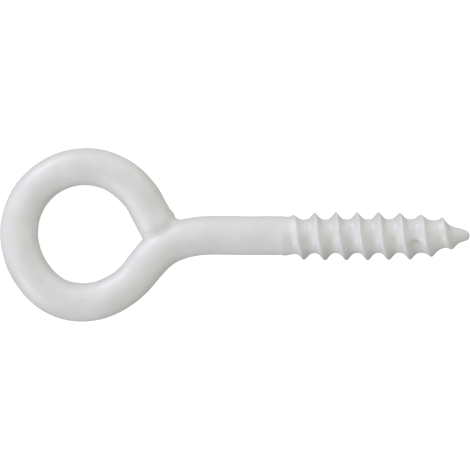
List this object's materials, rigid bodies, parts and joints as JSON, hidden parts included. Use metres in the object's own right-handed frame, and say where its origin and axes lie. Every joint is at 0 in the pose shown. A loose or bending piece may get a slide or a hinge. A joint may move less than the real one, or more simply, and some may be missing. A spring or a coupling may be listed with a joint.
{
  "type": "screw eye",
  "caption": "White coated wire screw eye: a closed round eye on a plain shank with a coarse, pointed wood-screw thread, for hanging, tying or hooking.",
  "frame": {"origin": "centre of the eye, on the screw's axis and in the middle of the wire", "axes": "+X along the screw's axis from the eye to the tip, +Z square to the plane of the eye and up as it lies, +Y in the plane of the eye towards the strand that ends against the neck"},
  "size_m": [0.0486, 0.018, 0.005],
  "materials": {
    "white_coat": "smooth semi-gloss white polymer coat over steel wire"
  },
  "bodies": {
    "root": {"screw_eye": "white_coat"}
  },
  "joints": []
}
